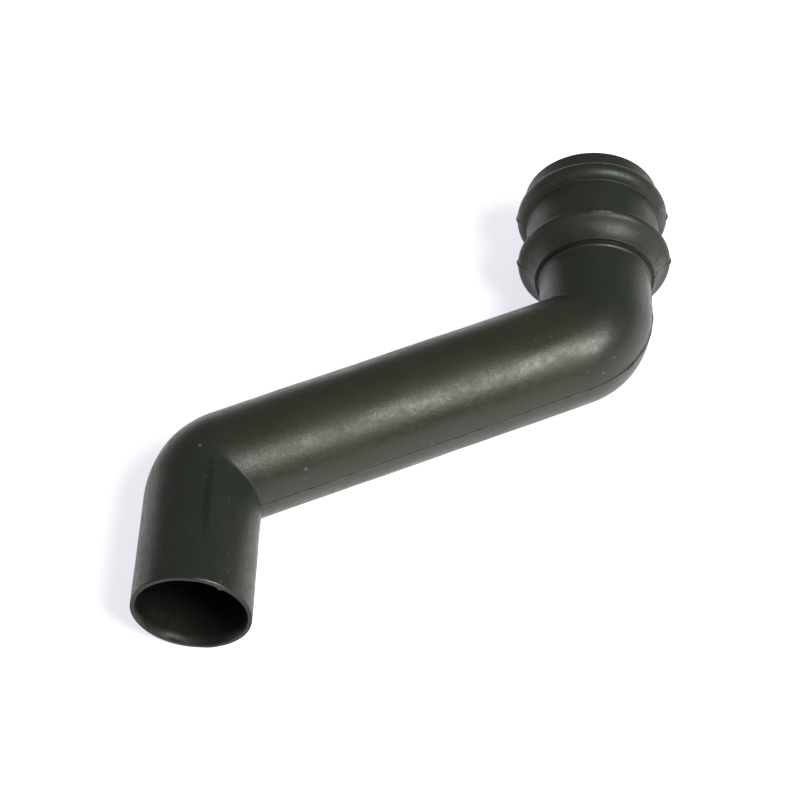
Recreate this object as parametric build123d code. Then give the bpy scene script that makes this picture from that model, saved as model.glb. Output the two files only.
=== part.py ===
from build123d import *
import os
from math import asin, cos, degrees, radians, sin, tan

# Downpipe offset for a round rainwater pipe: one blow-moulded piece, lying as it comes to rest.
# Origin at the centre of the socket's mouth, +Y out of the socket, -Y out of the spigot, +Z up.

# Pipe. Lengths are in mm and angles in degrees.
PIPE_R = 34.0
WALL = 2.4
PROJECTION = 230.0
TURN = 66.5

# The inside of each bend is a crease, this round. It is wider than the seam stands proud.
CREASE_R = 0.5

# Spigot, straight from the bend to its mouth, which is cut a little out of square: its side towards
# the socket is the longer one.
SPIGOT_LENGTH = 73.4
SPIGOT_CUT = 3.3

# Neck, straight from the bend to the shoulder, and the socket above it. The socket's bore takes a
# pipe like this one with this much play all round.
NECK_LENGTH = 25.0
SOCKET_DEPTH = 73.1
SOCKET_PLAY = 5.1
LIP_STEP = 1.4
LIP_TAPER = 0.6

# Shoulder: a low ring round the neck with a bevelled foot, and above it the skirt's face.
RING_STEP = 0.9
RING_HEIGHT = 3.1
SKIRT_STEP = 3.2

# Two beads, blown hollow, and how far they stand off the socket's wall. The upper one is half-round
# and set off from the mouth. The lower one is set off from the shoulder, and a cove runs on from it
# down to the skirt, starting this far round from the bead's crest.
BEAD_STAND = 5.9
UPPER_BEAD_R = 6.5
UPPER_BEAD_DOWN = 16.7
LOWER_BEAD_R = 4.5
LOWER_BEAD_UP = 17.4
COVE_MEETS = 58.0

# Seam left by the two halves of the mould.
SEAM_STAND = 0.4
SEAM_WIDTH = 1.0

# How far a solid that is trimmed, or that cuts, runs past the face it makes.
PAST = 10.0

# Bends of the centre line, and heights along the socket from the corner where its centre line meets
# the leg's.
BEND_R = PIPE_R + CREASE_R
TANGENT = BEND_R * tan(radians(TURN / 2))
SHOULDER_Y = TANGENT + NECK_LENGTH
MOUTH_Y = SHOULDER_Y + SOCKET_DEPTH
SKIRT_Y = SHOULDER_Y + RING_HEIGHT

# Radii of the collar, the middle of each bead's round in the collar's section, and the lean of a
# piece that lies on its beads and its spigot.
RING_R = PIPE_R + RING_STEP
SKIRT_R = PIPE_R + SKIRT_STEP
SOCKET_R = PIPE_R + SOCKET_PLAY + WALL
CREST_R = SOCKET_R + BEAD_STAND
LOWER_BEAD = Vector(CREST_R - LOWER_BEAD_R, SHOULDER_Y + LOWER_BEAD_UP)
UPPER_BEAD = Vector(CREST_R - UPPER_BEAD_R, MOUTH_Y - UPPER_BEAD_DOWN)
LEAN = degrees(asin((CREST_R - PIPE_R) / PROJECTION))

CORNER_B = Vector(0, -MOUTH_Y, 0)
CORNER_A = CORNER_B - Vector(PROJECTION, PROJECTION / tan(radians(TURN)), 0)
SPIGOT_MOUTH = CORNER_A - Vector(0, TANGENT + SPIGOT_LENGTH, 0)


def run(start, end, radius):
    """A straight round run between two points of the centre line."""
    along = end - start
    return extrude(Plane(start, z_dir=along) * Circle(radius), along.length)


def elbow(corner, side, radius):
    """The turned part of a bend. side is 1 where it bulges towards +X and -1 towards -X."""
    centre = corner + Vector(-side * BEND_R, side * TANGENT, 0)
    start = Plane(centre, x_dir=(side, 0, 0), z_dir=(0, -side, 0))
    return revolve(start * Pos(BEND_R, 0) * Circle(radius), Axis(centre, (0, 0, -1)), TURN)


def pipe(radius, spare):
    """Spigot, leg and neck on one centre line, with spare length past the spigot's mouth."""
    leg = (CORNER_B - CORNER_A).normalized() * TANGENT
    up = Vector(0, TANGENT, 0)
    body = run(SPIGOT_MOUTH - Vector(0, spare, 0), CORNER_A - up, radius)
    body += elbow(CORNER_A, -1, radius)
    body += run(CORNER_A + leg, CORNER_B - leg, radius)
    body += elbow(CORNER_B, 1, radius)
    body += run(CORNER_B + up, CORNER_B + Vector(0, SHOULDER_Y + PAST, 0), radius)
    return body


def towards(angle):
    """A unit step in the collar's section, this many degrees round from straight out."""
    return Vector(cos(radians(angle)), sin(radians(angle)))


def closed_over(edge, foot_r):
    """The face of a collar section, radius along X and height along Y, from its outer edge. The edge
    runs from the neck, at foot_r, to past the socket's mouth."""
    top = edge @ 1
    back = Polyline(top, (-foot_r, top.Y), (-foot_r, (edge @ 0).Y), (foot_r, (edge @ 0).Y))
    return make_face(edge.edges() + back.edges())


def cove():
    """The cove's line, from the lower bead's round down to the skirt's edge."""
    start = LOWER_BEAD + towards(-COVE_MEETS) * LOWER_BEAD_R
    return TangentArc(start, Vector(SKIRT_R, SKIRT_Y), tangent=towards(-90 - COVE_MEETS))


def barrel():
    """The collar's section without its upper bead and lip: neck, ring, skirt, cove, lower bead and
    straight wall."""
    foot = Polyline(
        (PIPE_R, SHOULDER_Y - PAST),
        (PIPE_R, SHOULDER_Y),
        (RING_R, SHOULDER_Y + RING_STEP),
        (RING_R, SKIRT_Y),
        (SKIRT_R, SKIRT_Y),
    )
    bead = CenterArc(LOWER_BEAD, LOWER_BEAD_R, -COVE_MEETS, 90 + COVE_MEETS)
    wall = Polyline(
        LOWER_BEAD + Vector(0, LOWER_BEAD_R),
        (SOCKET_R, LOWER_BEAD.Y + LOWER_BEAD_R),
        (SOCKET_R, MOUTH_Y + PAST),
    )
    edge = Wire(foot.edges() + cove().edges() + bead.edges() + wall.edges())
    return closed_over(edge, PIPE_R)


def lip():
    """The lip's section. It is wider than the wall at its foot in the upper bead and tapers up to
    the rim."""
    top = MOUTH_Y + PAST
    rim_r = SOCKET_R + LIP_STEP - LIP_TAPER
    outline = Polyline(
        (0, UPPER_BEAD.Y),
        (SOCKET_R + LIP_STEP, UPPER_BEAD.Y),
        (rim_r, MOUTH_Y),
        (rim_r, top),
        (0, top),
        close=True,
    )
    return make_face(outline)


def collar_section():
    """The collar's section from outside."""
    return barrel() + lip() + Pos(UPPER_BEAD) * Circle(UPPER_BEAD_R)


def hollow_section():
    """The collar's section from inside, one wall deeper. The beads' hollows and the back of the cove
    are flats. The throat keeps the upper bead's hollow open to the bore where the bead is small."""
    bore_r = SOCKET_R - WALL
    floor_y = SKIRT_Y + WALL
    hollow_r = LOWER_BEAD_R - WALL
    behind_cove = cove() @ 0.5 + (cove() % 0.5).rotate(Axis.Z, -90) * WALL
    edge = Polyline(
        (PIPE_R - WALL, SHOULDER_Y - PAST),
        (PIPE_R - WALL, floor_y),
        (SKIRT_R - WALL, floor_y),
        behind_cove,
        LOWER_BEAD + towards(-COVE_MEETS) * hollow_r,
        LOWER_BEAD + towards(0) * hollow_r,
        LOWER_BEAD + towards(90) * hollow_r,
        (bore_r, LOWER_BEAD.Y + hollow_r),
        (bore_r, MOUTH_Y + PAST),
    )
    upper_r = UPPER_BEAD_R - WALL
    upper = Pos(UPPER_BEAD) * RegularPolygon(upper_r, 6, rotation=30)
    throat = Pos(UPPER_BEAD) * Rectangle(UPPER_BEAD.X, upper_r / 2, align=(Align.MAX, Align.CENTER))
    return closed_over(edge, PIPE_R - WALL) + upper + throat


def turned(section):
    """The half of a collar section on one side of its axis, turned about the axis."""
    reach = MOUTH_Y + 2 * PAST
    half = section & Pos(reach / 2, reach / 2) * Rectangle(reach, reach)
    return revolve(Plane(CORNER_B) * half, Axis(CORNER_B, (0, 1, 0)))


def outside(grown):
    """The solid shape of the fitting from outside, its skin moved out by grown."""
    collar = collar_section()
    if grown:
        collar = offset(collar, grown)
    return pipe(PIPE_R + grown, PAST) + turned(collar)


def bore():
    """What the wall leaves open, running out past both mouths."""
    return pipe(PIPE_R - WALL, 2 * PAST) + turned(hollow_section())


def seam():
    """The ridge where the mould's halves met, in the plane of the centre line. The spigot has none,
    because it is trimmed there to seat in a socket."""
    start = CORNER_A.Y - TANGENT
    aligned = (Align.CENTER, Align.MIN, Align.CENTER)
    plate = Box(4 * PROJECTION, PAST - start, SEAM_WIDTH, align=aligned)
    return outside(SEAM_STAND) & Pos(0, start, 0) * plate


def downpipe_offset():
    """The whole fitting, with its centre line flat. Its ends are trimmed last."""
    body = outside(0) + seam() - bore()
    body = split(body, bisect_by=Plane.XZ, keep=Keep.TOP)
    cut = Plane(SPIGOT_MOUTH, z_dir=(0, 1, 0)).rotated((0, 0, -SPIGOT_CUT))
    return split(body, bisect_by=cut, keep=Keep.TOP)


os.makedirs("parts", exist_ok=True)
lying = downpipe_offset().rotate(Axis.Y, -LEAN).solid()
lying.label = "downpipe_offset"
export_step(lying, "parts/downpipe_offset.step")
print("solids", len(lying.solids()), "valid", lying.is_valid, "volume", lying.volume)
print("box", lying.bounding_box())
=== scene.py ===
import bpy
import numpy as np
from mathutils import Matrix, Vector


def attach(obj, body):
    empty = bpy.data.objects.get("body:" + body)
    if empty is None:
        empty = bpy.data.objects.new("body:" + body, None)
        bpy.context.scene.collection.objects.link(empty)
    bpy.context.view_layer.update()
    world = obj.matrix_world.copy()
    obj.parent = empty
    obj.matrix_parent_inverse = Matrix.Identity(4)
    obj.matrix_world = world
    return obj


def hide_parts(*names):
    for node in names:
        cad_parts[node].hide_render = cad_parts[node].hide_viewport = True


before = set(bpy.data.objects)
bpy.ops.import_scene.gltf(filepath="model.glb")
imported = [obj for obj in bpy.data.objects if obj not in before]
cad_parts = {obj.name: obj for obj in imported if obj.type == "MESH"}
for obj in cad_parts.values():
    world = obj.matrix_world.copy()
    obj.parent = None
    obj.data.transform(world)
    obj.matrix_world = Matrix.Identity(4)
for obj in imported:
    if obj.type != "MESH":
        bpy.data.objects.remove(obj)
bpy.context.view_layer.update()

# The camera looks down on the fitting from the spigot's end, as in the photograph.

EYE = Vector((-0.104988, -0.969365, 0.954483))
RIGHT = Vector((0.9996313, 0.0259769, 0.0079039))
UPWARD = Vector((-0.0249936, 0.7665469, 0.6417018))
LENS_MM = 94.84
SENSOR_MM = 36.0
SEES_TO = 20.0

lens = bpy.data.cameras.new("camera")
lens.lens = LENS_MM
lens.sensor_width = SENSOR_MM
lens.clip_end = SEES_TO
camera = bpy.data.objects.new("camera", lens)
turned = Matrix((RIGHT, UPWARD, RIGHT.cross(UPWARD))).transposed()
camera.matrix_world = Matrix.Translation(EYE) @ turned.to_4x4()
bpy.context.scene.collection.objects.link(camera)
bpy.context.scene.camera = camera

# The pipe: spigot, tight bend, slanted leg, tight bend and neck, blown in one piece. The parison was
# pinched flat between two mould halves, so the skin is even and the insides of the bends are creases.
# Sizes are in millimetres, on the fitting laid flat with the middle of the socket's mouth at 0. A
# collar height is counted up the socket from the upper corner of the centre line.

PIPE_R = 34.0
WALL = 2.4
PROJECTION = 230.0
TURN = np.radians(66.5)
CREASE_R = 1.2
OUTER_ARC_R = 65.2
ARC_EASE = 2.3
MOUTH_Y = 120.72
COLLAR_START = 44.0
CORNER_B = np.array([0.0, -MOUTH_Y])
CORNER_A = CORNER_B - np.array([PROJECTION, PROJECTION / np.tan(TURN)])
SPIGOT_MOUTH_Y = -316.75
SPIGOT_CUT = np.tan(np.radians(3.3))

SEAM_COLUMNS = np.array([0.2, 0.4, 0.65, 0.95, 1.25, 1.5, 1.75, 2.0, 2.3, 2.7, 3.3])
PLAIN_COLUMNS = 36


def columns_round():
    """Angles round the pipe: close together at the two seams and evenly spread between them. The
    angle is 0 on the right side, towards the socket, and a quarter turn on top."""
    near = SEAM_COLUMNS / PIPE_R
    plain = np.linspace(near[-1], np.pi / 2, PLAIN_COLUMNS)[1:]
    quarter = np.r_[near, plain]
    half = np.r_[0.0, quarter, np.pi - quarter[-2::-1]]
    return np.r_[half, half + np.pi]


round_angles = columns_round()


def spread(start, end, rows):
    """Rows of points spaced evenly along the straight line from each start to its end."""
    share = np.linspace(0.0, 1.0, rows, endpoint=False)[:, None, None]
    return start * (1 - share) + end * share


def pipe_skin(radius, rows):
    """The pipe's skin from the spigot's mouth to the neck. Each line along it lies in its own level
    plane and is offset from the centre line by radius x cos(angle). It runs straight, turns on an
    arc, runs straight, turns back and runs straight. An arc is as tight as the crease on the inside
    of the turn and widest on the outside, growing as a power of how far out the line lies."""
    aside = radius * np.cos(round_angles)
    corner_shift = np.column_stack([aside, -aside * np.tan(TURN / 2)])
    leg = np.array([np.sin(TURN), np.cos(TURN)])
    across = np.array([np.cos(TURN), -np.sin(TURN)])
    first_corner = CORNER_A + corner_shift
    second_corner = CORNER_B + corner_shift
    depth = PIPE_R - radius

    def arc_radius(outwards):
        inner = CREASE_R + depth
        outer = OUTER_ARC_R - depth
        return inner + (outer - inner) * ((1 + outwards) / 2) ** ARC_EASE

    first_r = arc_radius(-aside / radius)[:, None]
    second_r = arc_radius(aside / radius)[:, None]
    first_start = first_corner - first_r * np.tan(TURN / 2) * np.array([0.0, 1.0])
    first_end = first_corner + first_r * np.tan(TURN / 2) * leg
    second_start = second_corner - second_r * np.tan(TURN / 2) * leg
    second_end = second_corner + second_r * np.tan(TURN / 2) * np.array([0.0, 1.0])
    mouth = np.column_stack([CORNER_A[0] + aside, SPIGOT_MOUTH_Y - aside * SPIGOT_CUT])
    top = np.column_stack([aside, np.full_like(aside, CORNER_B[1] + COLLAR_START)])

    turn = np.linspace(0.0, TURN, rows["bend"], endpoint=False)[:, None, None]
    out_of_first = np.concatenate([1 - np.cos(turn), np.sin(turn)], axis=2)
    into_second = np.concatenate([np.cos(TURN - turn), -np.sin(TURN - turn)], axis=2)
    flat = np.concatenate([
        spread(mouth, first_start, rows["spigot"]),
        first_start + first_r * out_of_first,
        spread(first_end, second_start, rows["leg"]),
        second_start + second_r * (into_second - across),
        spread(second_end, top, rows["neck"]),
    ])
    level = np.broadcast_to(radius * np.sin(round_angles), flat.shape[:2])
    return np.concatenate([flat, level[:, :, None]], axis=2)


# The collar: a low bevelled ring round the neck, a skirt that sweeps up in a cove to the lower bead,
# a socket, the upper bead and a lip. It is blown with the pipe, so its wall is as thin as the pipe's,
# the beads are hollow behind and its corners are soft.

SHOULDER_Y = 47.62
RING_STEP = 0.9
SKIRT_Y = 50.72
SKIRT_R = 37.2
SOCKET_R = 41.5
BEAD_CREST_R = 47.4
LOWER_BEAD_Y = 65.02
LOWER_BEAD_R = 4.5
UPPER_BEAD_Y = 104.02
UPPER_BEAD_R = 6.5
COVE_MEETS = np.radians(-58.0)
LIP_STEP = 1.4
LIP_TAPER = 0.6
ARC_POINTS = 40
STEP = 0.1
CORNER_SOFTNESS = 0.5
EDGE_SOFTNESS = 0.25
RIM_REACH = 3.0
SHOULDER_REACH = 3.5
ROW_SPACING = 1.8
TURN_PER_ROW = np.radians(11.0)


def arc(middle_y, middle_r, radius, start, end):
    """Points on a round of the section, each (height, radius). Angles are from the outward
    direction, and grow towards the socket's mouth."""
    angle = np.linspace(start, end, ARC_POINTS)
    return np.column_stack([middle_y + radius * np.sin(angle), middle_r + radius * np.cos(angle)])


def cove():
    """The cove's round as its middle's height and radius, its own radius and the two angles it runs
    between. It leaves the lower bead along the bead's own line and ends at the skirt's edge: its
    radius is the chord squared over twice the chord's run away from the bead's middle."""
    outward = np.array([np.sin(COVE_MEETS), np.cos(COVE_MEETS)])
    bead = np.array([LOWER_BEAD_Y, BEAD_CREST_R - LOWER_BEAD_R])
    start = bead + LOWER_BEAD_R * outward
    chord = np.array([SKIRT_Y, SKIRT_R]) - start
    radius = chord @ chord / (2 * chord @ outward)
    middle = start + radius * outward
    at_skirt = np.arctan2(SKIRT_Y - middle[0], SKIRT_R - middle[1])
    return middle[0], middle[1], radius, at_skirt, COVE_MEETS + np.pi


def collar_outline():
    """The collar's section as one line: up the outside from the neck, over the rim and down the
    inside, which follows the outside one wall deeper."""
    upper = BEAD_CREST_R - UPPER_BEAD_R
    lower = BEAD_CREST_R - LOWER_BEAD_R
    at_wall = np.arccos((SOCKET_R - upper) / UPPER_BEAD_R)
    at_lip = np.arccos((SOCKET_R + LIP_STEP - upper) / UPPER_BEAD_R)
    rim_r = SOCKET_R + LIP_STEP - LIP_TAPER
    bore_r = SOCKET_R - WALL
    cove_y, cove_r, cove_round, at_skirt, at_bead = cove()
    floor_y = SKIRT_Y + WALL
    behind = arc(cove_y, cove_r, cove_round + WALL, at_bead, at_skirt)
    return np.concatenate([
        [[COLLAR_START, PIPE_R], [SHOULDER_Y, PIPE_R]],
        [[SHOULDER_Y + RING_STEP, PIPE_R + RING_STEP], [SKIRT_Y, PIPE_R + RING_STEP]],
        arc(cove_y, cove_r, cove_round, at_skirt, at_bead),
        arc(LOWER_BEAD_Y, lower, LOWER_BEAD_R, COVE_MEETS, np.pi / 2),
        [[LOWER_BEAD_Y + LOWER_BEAD_R, SOCKET_R]],
        arc(UPPER_BEAD_Y, upper, UPPER_BEAD_R, -at_wall, at_lip),
        [[MOUTH_Y, rim_r], [MOUTH_Y, bore_r]],
        arc(UPPER_BEAD_Y, upper, UPPER_BEAD_R - WALL, at_wall, -at_wall),
        [[LOWER_BEAD_Y + LOWER_BEAD_R - WALL, bore_r]],
        arc(LOWER_BEAD_Y, lower, LOWER_BEAD_R - WALL, np.pi / 2, COVE_MEETS),
        behind[behind[:, 0] > floor_y],
        [[floor_y, PIPE_R - WALL], [COLLAR_START, PIPE_R - WALL]],
    ])


def even_points(outline, step):
    """Points one step apart along an outline."""
    run = np.r_[0.0, np.cumsum(np.hypot(*np.diff(outline, axis=0).T))]
    at = np.arange(0.0, run[-1], step)
    return np.column_stack([np.interp(at, run, side) for side in outline.T])


def softened(points, width):
    """Each point becomes the mean of its neighbours, weighed by a bell curve of that width, which
    rounds every corner off."""
    reach = int(np.ceil(4 * width / STEP))
    bell = np.exp(-0.5 * (np.arange(-reach, reach + 1) * STEP / width) ** 2)
    longer = np.pad(points, ((reach, reach), (0, 0)), mode="reflect", reflect_type="odd")
    return np.column_stack([np.convolve(side, bell / bell.sum(), "valid") for side in longer.T])


def collar_rows():
    """The softened section, with its rows close together where it turns and further apart where it
    runs straight: a row for each spacing run plus one for each angle turned."""
    raw = even_points(collar_outline(), STEP)
    to_rim = (raw[:, 0] - MOUTH_Y) / RIM_REACH
    to_shoulder = (raw[:, 0] - SKIRT_Y) / SHOULDER_REACH
    sharp = (np.exp(-to_rim ** 2) + np.exp(-to_shoulder ** 4))[:, None]
    fine = softened(raw, CORNER_SOFTNESS) * (1 - sharp) + softened(raw, EDGE_SOFTNESS) * sharp
    heading = np.unwrap(np.arctan2(*np.diff(fine, axis=0).T))
    run = np.hypot(*np.diff(fine, axis=0).T)
    effort = np.r_[0.0, np.cumsum(run / ROW_SPACING + np.abs(np.gradient(heading)) / TURN_PER_ROW)]
    at = np.linspace(0.0, effort[-1], int(effort[-1]))
    return np.column_stack([np.interp(at, effort, side) for side in fine.T])


def collar_skin():
    """The section turned about the socket's axis."""
    height, radius = collar_rows().T[:, :, None]
    x = radius * np.cos(round_angles)
    z = radius * np.sin(round_angles)
    y = np.broadcast_to(CORNER_B[1] + height, x.shape)
    return np.stack([x, y, z], axis=2)


# The spigot's end was sawn by hand, so it is not quite square and a little wavy, and its two edges are
# softened. The four sheets of points then join into one skin that closes on itself.

CUT_WAVE = 0.22
EDGE_ROUND = 0.35
SAWN_RINGS = 5


def cut_rows():
    """Rings across the sawn end, from the bore's edge out to the skin's."""
    rings = np.linspace(PIPE_R - WALL + EDGE_ROUND, PIPE_R - EDGE_ROUND, SAWN_RINGS)[:, None]
    aside = rings * np.cos(round_angles)
    x = CORNER_A[0] + aside
    y = SPIGOT_MOUTH_Y - aside * SPIGOT_CUT - EDGE_ROUND / 2
    return np.stack([x, y, rings * np.sin(round_angles)], axis=2)


outside = pipe_skin(PIPE_R, {"spigot": 46, "bend": 27, "leg": 96, "neck": 12})
inside = pipe_skin(PIPE_R - WALL, {"spigot": 12, "bend": 14, "leg": 14, "neck": 4})
collar = collar_skin()
sawn = cut_rows()
skin = np.concatenate([outside, collar, inside[::-1], sawn])

# How far each row is along the pipe, which the marks and the material's patterns follow.

middles = skin.mean(axis=1)
steps = np.r_[0.0, np.linalg.norm(np.diff(middles, axis=0), axis=1)]
outer_rows = np.arange(len(skin)) < len(outside) + np.argmax(collar[:, 0, 1])
along = np.cumsum(np.where(outer_rows, steps, -steps))
cut_row = np.arange(len(skin)) >= len(skin) - len(sawn)
along[cut_row] = 0.0
from_axis = np.linalg.norm(skin - middles[:, None], axis=2)
straight = np.stack([
    np.broadcast_to(along[:, None], from_axis.shape),
    from_axis * np.cos(round_angles),
    from_axis * np.sin(round_angles),
], axis=2)


def outward(points):
    """Unit normals of a sheet closed both ways: the cross product of its neighbours' differences."""
    down = np.roll(points, -1, axis=0) - np.roll(points, 1, axis=0)
    across = np.roll(points, -1, axis=1) - np.roll(points, 1, axis=1)
    normal = np.cross(down, across)
    return normal / np.linalg.norm(normal, axis=2, keepdims=True)


normals = outward(skin)

# The fitting lies on its collar's beads and on its spigot, so it leans a little. The floor is the
# beads' radius below the socket's axis.

NEAR_FLOOR = 4.0
LEAN = np.arcsin((BEAD_CREST_R - PIPE_R) / PROJECTION)
lean = np.array([[np.cos(LEAN), 0, np.sin(LEAN)], [0, 1, 0], [-np.sin(LEAN), 0, np.cos(LEAN)]])
off_floor = np.clip(((skin @ lean)[:, :, 2] + BEAD_CREST_R) / NEAR_FLOOR, 0.0, 1.0)

# Marks of making on the skin: the mould's parting seam, which is proud and ragged, climbs a little
# towards the collar and has a nub on each bead's side; a slow unevenness of the blown wall, which dies
# out where it rests on the floor; and a burr that the saw left inside the spigot's rim.

SEAM_STAND = 0.42
SEAM_HALF_WIDTH = 0.50
SEAM_FROM = 78.0
SEAM_GROWS_OVER = 6.0
RAGGED_LEAST = 0.75
RAGGED_MORE = 0.30
SEAM_RISE = 1.7
RISE_FROM = 230.0
RISE_OVER = 100.0
BEND_STAND = 0.45
BEND_AT = 345.0
BEND_SPREAD = 30.0
NUB_STAND = 0.45
NUB_WIDER = 0.20
NUB_FROM_R = 45.5
NUB_GROWS_OVER = 1.2
WAVINESS = 0.07
BURR_STAND = 1.4
BURR_ANGLE = np.radians(53.0)
BURR_HALF_WIDTH = 1.6
GROOVE_Y = 49.8
GROOVE_HALF = 1.3
GROOVE_WITHIN_R = SKIRT_R + 0.1


def slow_waves(sheet, seed, count, shortest, longest):
    """A sum of plane waves through the straightened pipe, of random direction and length."""
    draw = np.random.default_rng(seed)
    heading = draw.normal(size=(count, 3))
    heading /= np.linalg.norm(heading, axis=1, keepdims=True)
    length = draw.uniform(shortest, longest, count)
    phase = draw.uniform(0, 2 * np.pi, count)
    total = np.zeros(sheet.shape[:2])
    for one_heading, one_length, one_phase in zip(heading, length, phase):
        total += np.sin(sheet @ one_heading * 2 * np.pi / one_length + one_phase)
    return total / np.sqrt(count)


level = straight[:, :, 2]
seam_fade = np.clip((along - SEAM_FROM) / SEAM_GROWS_OVER, 0.0, 1.0)[:, None] * outer_rows[:, None]
waves = slow_waves(straight, seed=3, count=12, shortest=3.0, longest=14.0)
raggedness = RAGGED_LEAST + RAGGED_MORE * waves
at_crest = np.clip((from_axis - NUB_FROM_R) / NUB_GROWS_OVER, 0.0, 1.0)
at_inner_edge = np.arange(len(skin)) == len(skin) - len(sawn) - 1
risen = np.clip((along - RISE_FROM) / RISE_OVER, 0.0, 1.0)
off_seam = level - SEAM_RISE * (risen ** 2 * (3 - 2 * risen))[:, None]
seam_bell = np.exp(-(off_seam / (SEAM_HALF_WIDTH + NUB_WIDER * at_crest)) ** 2)
stand = SEAM_STAND + BEND_STAND * np.exp(-((along - BEND_AT) / BEND_SPREAD) ** 2)[:, None]
# Painted shade: the groove between the low ring and the skirt's edge, on the outside, is marked so
# that the material darkens it as a shaded recess.
above_corner = skin[:, :, 1] - CORNER_B[1]
in_groove = np.exp(-((above_corner - GROOVE_Y) / GROOVE_HALF) ** 4) * (from_axis < GROOVE_WITHIN_R)
groove_shade = in_groove * outer_rows[:, None]
relief = seam_bell * seam_fade * (stand * raggedness + NUB_STAND * at_crest)
waves = slow_waves(straight, seed=5, count=14, shortest=18.0, longest=60.0)
relief += WAVINESS * waves * outer_rows[:, None] * off_floor
from_burr = np.abs(np.angle(np.exp(1j * (round_angles - BURR_ANGLE)))) * PIPE_R / BURR_HALF_WIDTH
relief += BURR_STAND * np.exp(-from_burr ** 2) * at_inner_edge[:, None]
waves = slow_waves(straight, seed=7, count=8, shortest=12.0, longest=40.0)
relief += CUT_WAVE * waves * cut_row[:, None]
skin = skin + normals * relief[:, :, None]

MM = 0.001
COLLAR_FROM_R = 35.0
COLLAR_BLENDS_OVER = 1.5


def closed_sheet(name, points):
    """A mesh of squares over a sheet of points that closes on itself both ways."""
    rows, columns = points.shape[:2]
    here = np.arange(rows * columns).reshape(rows, columns)
    right = np.roll(here, -1, axis=1)
    below = np.roll(here, -1, axis=0)
    beyond = np.roll(right, -1, axis=0)
    squares = np.stack([here, below, beyond, right], axis=2).reshape(-1, 4)
    mesh = bpy.data.meshes.new(name)
    mesh.from_pydata(points.reshape(-1, 3), [], squares.tolist())
    mesh.polygons.foreach_set("use_smooth", np.ones(len(squares), bool))
    mesh.update()
    piece = bpy.data.objects.new(name, mesh)
    bpy.context.scene.collection.objects.link(piece)
    return piece


def give_each_point(piece, name, kind, values):
    """Stores a value for each point, under a name that the material reads."""
    store = piece.data.attributes.new(name, kind, "POINT")
    field = "vector" if kind == "FLOAT_VECTOR" else "value"
    store.data.foreach_set(field, np.ascontiguousarray(values, np.float32).ravel())


fitting = closed_sheet("offset_fitting", skin @ lean * MM)
give_each_point(fitting, "straight", "FLOAT_VECTOR", straight * MM)
give_each_point(fitting, "off_seam", "FLOAT", off_seam * MM)
give_each_point(fitting, "sawn", "FLOAT", np.broadcast_to(cut_row[:, None], level.shape))
bore_row = ~outer_rows & ~cut_row
give_each_point(fitting, "bore", "FLOAT", np.broadcast_to(bore_row[:, None], level.shape))
# The groove's painted shade goes to the material as a value on each point.
give_each_point(fitting, "groove_shade", "FLOAT", groove_shade)
off_pipe = np.clip((from_axis - COLLAR_FROM_R) / COLLAR_BLENDS_OVER, 0.0, 1.0)
give_each_point(fitting, "collar", "FLOAT", off_pipe * outer_rows[:, None])

# The plastic: dark green-black through its whole thickness, satin to matt, with a fine orange-peel
# grain from the mould, faint drawn-out streaks along the pipe and paler, rougher sawn edges. The
# bore and the groove under the skirt are painted darker as shade, and a dark line along the seam
# is a painted shadow.

material = bpy.data.materials.new("pipe_plastic")
material.use_nodes = True
nodes = material.node_tree.nodes
links = material.node_tree.links
nodes.clear()


def node(kind, settings=(), **sockets):
    """Adds a node, sets what it is told and wires or fills the named sockets. A socket's name has _
    for each space, and a number for one of several of the same name."""
    made = nodes.new(kind)
    for name, value in dict(settings).items():
        setattr(made, name, value)
    for name, value in sockets.items():
        key = int(name[1:]) if name[0] == "n" and name[1:].isdigit() else name.replace("_", " ")
        if isinstance(value, bpy.types.NodeSocket):
            links.new(value, made.inputs[key])
        else:
            made.inputs[key].default_value = value
    return made


def noise(where, scale, detail, roughness):
    """Cloudy noise, from 0 to 1."""
    made = node("ShaderNodeTexNoise", Vector=where, Scale=scale, Detail=detail, Roughness=roughness)
    return made.outputs["Fac"]


def between(value, low, high, first, last):
    """Carries a value from the range low to high over to first to last, smoothly and not past them."""
    made = node("ShaderNodeMapRange", {"interpolation_type": "SMOOTHSTEP"},
                n0=value, n1=low, n2=high, n3=first, n4=last)
    return made.outputs["Result"]


def blended(share, first, last):
    """Mixes two colours."""
    made = node("ShaderNodeMix", {"data_type": "RGBA"}, n0=share, n6=first, n7=last)
    return made.outputs[2]


def reckon(operation, first, second=0.0, third=0.0):
    """One step of arithmetic."""
    return node("ShaderNodeMath", {"operation": operation}, n0=first, n1=second, n2=third).outputs[0]


GREEN_BLACK = (0.0168, 0.0208, 0.0155, 1.0)
OLIVE_BLACK = (0.0250, 0.0280, 0.0165, 1.0)
SAWN_GREY = (0.0160, 0.0175, 0.0160, 1.0)
# The bore is painted near black, far darker than the plastic, as shade inside the pipe.
BORE_PAINTED_SHADE = (0.0035, 0.0045, 0.0028, 1.0)
SCUFF_GREY = (0.1900, 0.2000, 0.1900, 1.0)
# Near black: dirt in the stains, painted shade in the groove and a painted shadow along the seam.
DIRT_AND_SHADE_BLACK = (0.0040, 0.0045, 0.0030, 1.0)
EDGE_RAGGED = 1.6

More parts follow.
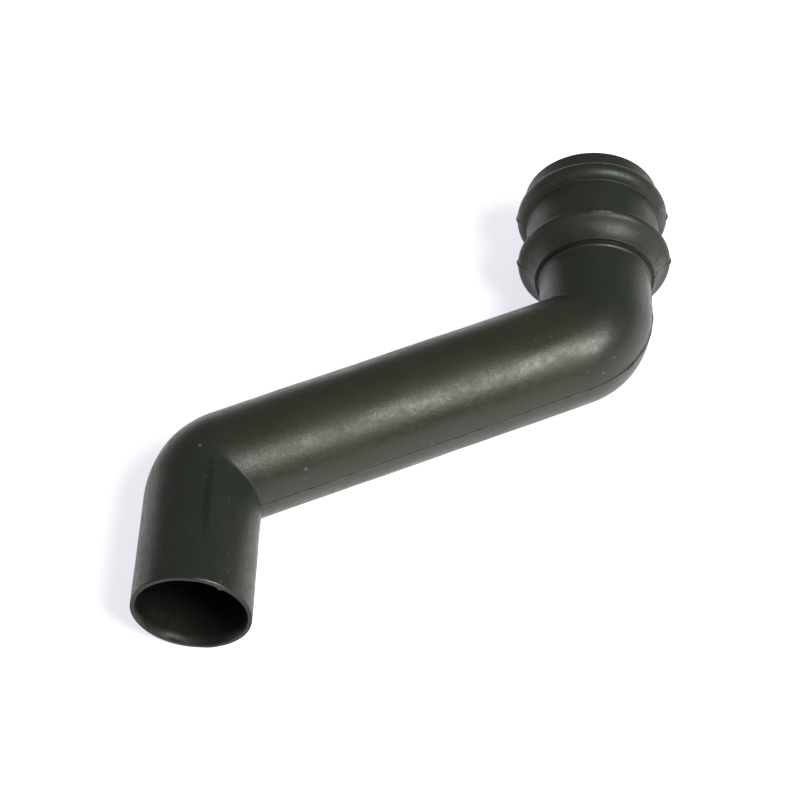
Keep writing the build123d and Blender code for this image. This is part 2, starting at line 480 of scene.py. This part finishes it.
where = node("ShaderNodeAttribute", {"attribute_name": "straight"}).outputs["Vector"]
place = node("ShaderNodeTexCoord").outputs["Object"]
is_sawn = node("ShaderNodeAttribute", {"attribute_name": "sawn"}).outputs["Fac"]
is_bore = node("ShaderNodeAttribute", {"attribute_name": "bore"}).outputs["Fac"]
in_shaded_groove = node("ShaderNodeAttribute", {"attribute_name": "groove_shade"}).outputs["Fac"]
is_collar = node("ShaderNodeAttribute", {"attribute_name": "collar"}).outputs["Fac"]
apart = node("ShaderNodeSeparateXYZ", Vector=where)
drawn_out = node("ShaderNodeMapping", Vector=where, Scale=(0.45, 1.0, 1.0)).outputs["Vector"]
patches = noise(drawn_out, scale=45.0, detail=4.0, roughness=0.6)
grain = noise(where, scale=1100.0, detail=2.0, roughness=0.6)
peel = noise(where, scale=480.0, detail=3.0, roughness=0.6)
clouds = noise(where, scale=150.0, detail=4.0, roughness=0.65)
motes = noise(where, scale=380.0, detail=2.0, roughness=0.4)
dust = between(motes, 0.745, 0.770, 0.0, 1.0)


def spots(marks):
    """Covers the neighbourhood of each mark, given as its middle and half sizes in millimetres, with
    a ragged edge."""
    edge = noise(where, scale=420.0, detail=3.0, roughness=0.7)
    ragged = reckon("MULTIPLY", reckon("SUBTRACT", edge, 0.5), EDGE_RAGGED)
    covered = 0.0
    for middle, half in marks:
        middle = [side * MM for side in middle]
        half = [side * MM for side in half]
        near = node("ShaderNodeMapping", {"vector_type": "TEXTURE"},
                    Vector=place, Location=middle, Scale=half)
        away = node("ShaderNodeVectorMath", {"operation": "LENGTH"}, n0=near.outputs["Vector"])
        away = reckon("ADD", away.outputs["Value"], ragged)
        covered = reckon("MAXIMUM", covered, between(away, 0.45, 1.0, 1.0, 0.0))
    return covered


# Scuffs stand out paler, and stains darker. Each is given by its middle and half sizes, in millimetres
# on the fitting as it lies.

SCUFFS = (
    ((2.0, -56.9, 47.0), (9.0, 1.1, 2.0)),  # rubbed line on the lower bead's top
    ((44.5, -21.5, 9.0), (4.5, 6.5, 14.0)),  # right side of the upper bead
    ((41.5, -63.5, 4.0), (5.0, 7.5, 13.0)),  # right side of the lower bead
    ((-170.5, -228.0, 4.9), (1.5, 1.5, 1.5)),  # specks on the leg and the two bends
    ((1.9, -154.9, 10.6), (1.4, 1.4, 1.4)),
    ((-230.4, -225.0, 20.6), (1.3, 1.3, 1.3)),
    ((-210.3, -317.0, 9.8), (2.2, 1.6, 2.2)),  # sawn edge beside the burr
)
STAINS = (
    ((-5.5, -66.4, 38.4), (7.0, 4.5, 4.5)),  # smudge in the cove
    ((-8.5, -57.0, 46.8), (4.0, 1.5, 2.0)),  # dark end of the rubbed line
    ((-223.0, -262.0, 20.0), (3.2, 34.0, 6.0)),  # streak down the spigot's top
    ((-17.6, -165.5, -1.5), (1.8, 1.8, 1.8)),  # spot on the upper bend's near side
)
scrapes = noise(where, scale=420.0, detail=4.0, roughness=0.65)
scuffed = reckon("MULTIPLY", spots(SCUFFS), between(scrapes, 0.36, 0.54, 0.10, 1.0))
stained = spots(STAINS)

# The seam's shadow is painted as a ragged dark line along it that comes and goes, and starts past
# the spigot. Widths and places along the pipe are in metres, as the straightened coordinates are.

LINE_WANDERS = 0.0016
LINE_SOFT = 0.00035

tear = noise(where, scale=150.0, detail=3.0, roughness=0.7)
wander = noise(where, scale=90.0, detail=2.0, roughness=0.5)
wobble = reckon("MULTIPLY", reckon("SUBTRACT", wander, 0.5), LINE_WANDERS)
off_seam = node("ShaderNodeAttribute", {"attribute_name": "off_seam"}).outputs["Fac"]
off_seam = reckon("ABSOLUTE", reckon("ADD", off_seam, wobble))
width = between(tear, 0.44, 0.74, -0.0003, 0.0012)
line = between(reckon("SUBTRACT", off_seam, width), 0.0, LINE_SOFT, 1.0, 0.0)
past_spigot = between(apart.outputs["X"], 0.074, 0.080, 0.0, 1.0)
line = reckon("MULTIPLY", line, past_spigot)

# Colour: the leg is more olive than the ends. Then each layer in turn, from where it lies, how
# strongly it covers and its colour.

OLIVE_ON_LEG = 0.75
OLIVE_IN_PATCHES = 0.35
# The groove's darkening and the bore's near black are painted shade, and the seam's dark line is a
# painted shadow. The stains are dirt, and the dust, sawn edges and scuffs are the plastic's own.
LAYERS = (
    (stained, 0.55, DIRT_AND_SHADE_BLACK),
    (line, 0.60, DIRT_AND_SHADE_BLACK),
    (in_shaded_groove, 0.80, DIRT_AND_SHADE_BLACK),
    (dust, 0.25, SCUFF_GREY),
    (is_sawn, 1.0, SAWN_GREY),
    (scuffed, 0.50, SCUFF_GREY),
    (is_bore, 1.0, BORE_PAINTED_SHADE),
)

on_leg = between(apart.outputs["X"], 0.085, 0.125, 0.0, OLIVE_ON_LEG)
past_leg = between(apart.outputs["X"], 0.310, 0.350, 0.0, OLIVE_ON_LEG)
in_patches = between(patches, 0.35, 0.65, 0.0, OLIVE_IN_PATCHES)
olive = reckon("ADD", in_patches, reckon("SUBTRACT", on_leg, past_leg))
colour = blended(olive, GREEN_BLACK, OLIVE_BLACK)
for share, strength, tint in LAYERS:
    colour = blended(reckon("MULTIPLY", share, strength), colour, tint)

# Roughness and fine relief: satin, uneven with the peel, patches and clouds, and duller on the
# collar, in the bore, in the groove with its painted shade and where the plastic is cut or worn.

DULLER = ((is_collar, 0.07), (is_sawn, 0.25), (is_bore, 0.16), (in_shaded_groove, 0.15), (scuffed, 0.15))
GRAIN_SHARE = 0.9
LINE_DEPTH = 1.2

gloss = reckon("ADD", between(peel, 0.3, 0.7, 0.37, 0.43), between(patches, 0.3, 0.7, -0.05, 0.07))
gloss = reckon("ADD", gloss, between(clouds, 0.35, 0.65, -0.035, 0.035))
for share, rougher in DULLER:
    gloss = reckon("MULTIPLY_ADD", share, rougher, gloss)
height = reckon("MULTIPLY_ADD", grain, GRAIN_SHARE, peel)
height = reckon("SUBTRACT", height, reckon("MULTIPLY", line, LINE_DEPTH))
bump = node("ShaderNodeBump", Strength=0.32, Distance=0.00025, Height=height).outputs["Normal"]
plastic = node("ShaderNodeBsdfPrincipled", Base_Color=colour, Roughness=gloss, Normal=bump)
plastic.inputs["Specular Tint"].default_value = (0.96, 1.0, 0.90, 1.0)
plastic.inputs["IOR"].default_value = 1.5
node("ShaderNodeOutputMaterial", Surface=plastic.outputs["BSDF"])
fitting.data.materials.append(material)

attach(fitting, "root")
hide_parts("downpipe_offset")

# The floor: a plain white sheet, which takes the fitting's soft shadow.

FLOOR_Z = -0.0474
FLOOR_HALF = 4.0
FLOOR_WHITE = (0.80, 0.80, 0.76, 1.0)
FLOOR_GLOW = (0.69, 0.69, 0.75, 1.0)

corners = [(x, y, FLOOR_Z) for x, y in ((-1, -1), (1, -1), (1, 1), (-1, 1))]
corners = [(x * FLOOR_HALF, y * FLOOR_HALF, z) for x, y, z in corners]
floor_mesh = bpy.data.meshes.new("floor")
floor_mesh.from_pydata(corners, [], [(0, 1, 2, 3)])
floor = bpy.data.objects.new("floor", floor_mesh)
bpy.context.scene.collection.objects.link(floor)
material = bpy.data.materials.new("floor")
material.use_nodes = True
nodes = material.node_tree.nodes
links = material.node_tree.links
nodes.clear()
light_path = node("ShaderNodeLightPath")
seen = reckon("MAXIMUM", light_path.outputs["Is Camera Ray"], light_path.outputs["Is Glossy Ray"])
seen = reckon("MAXIMUM", seen, light_path.outputs["Is Transmission Ray"])
glow = node("ShaderNodeEmission", Color=FLOOR_GLOW, Strength=seen)
paint = node("ShaderNodeBsdfDiffuse", Color=FLOOR_WHITE)
both = node("ShaderNodeAddShader", n0=glow.outputs[0], n1=paint.outputs[0])
node("ShaderNodeOutputMaterial", Surface=both.outputs[0])
floor_mesh.materials.append(material)

# Light: one large soft lamp high in front and to the right, and a dim even room.

OBJECT_MIDDLE = Vector((-0.11, -0.17, 0.0))
LAMP_TOWARDS = Vector((0.50, -0.45, 0.74))
LAMP_FAR = 2.6
LAMP_SIDE = 1.3
LAMP_POWER = 70.0
ROOM = 0.20

shade = bpy.data.lights.new("lamp", "AREA")
shade.shape = "DISK"
shade.size = LAMP_SIDE
shade.energy = LAMP_POWER
lamp = bpy.data.objects.new("lamp", shade)
lamp.location = OBJECT_MIDDLE + LAMP_TOWARDS.normalized() * LAMP_FAR
lamp.rotation_euler = LAMP_TOWARDS.to_track_quat("Z", "Y").to_euler()
bpy.context.scene.collection.objects.link(lamp)

world = bpy.data.worlds.new("room")
bpy.context.scene.world = world
world.use_nodes = True
nodes = world.node_tree.nodes
links = world.node_tree.links
nodes.clear()
light_path = node("ShaderNodeLightPath")
strength = between(light_path.outputs["Is Camera Ray"], 0.0, 1.0, ROOM, 1.0)
room = node("ShaderNodeBackground", Color=(1.0, 1.0, 1.0, 1.0), Strength=strength)
node("ShaderNodeOutputWorld", Surface=room.outputs[0])

bpy.context.scene.view_settings.view_transform = "Standard"
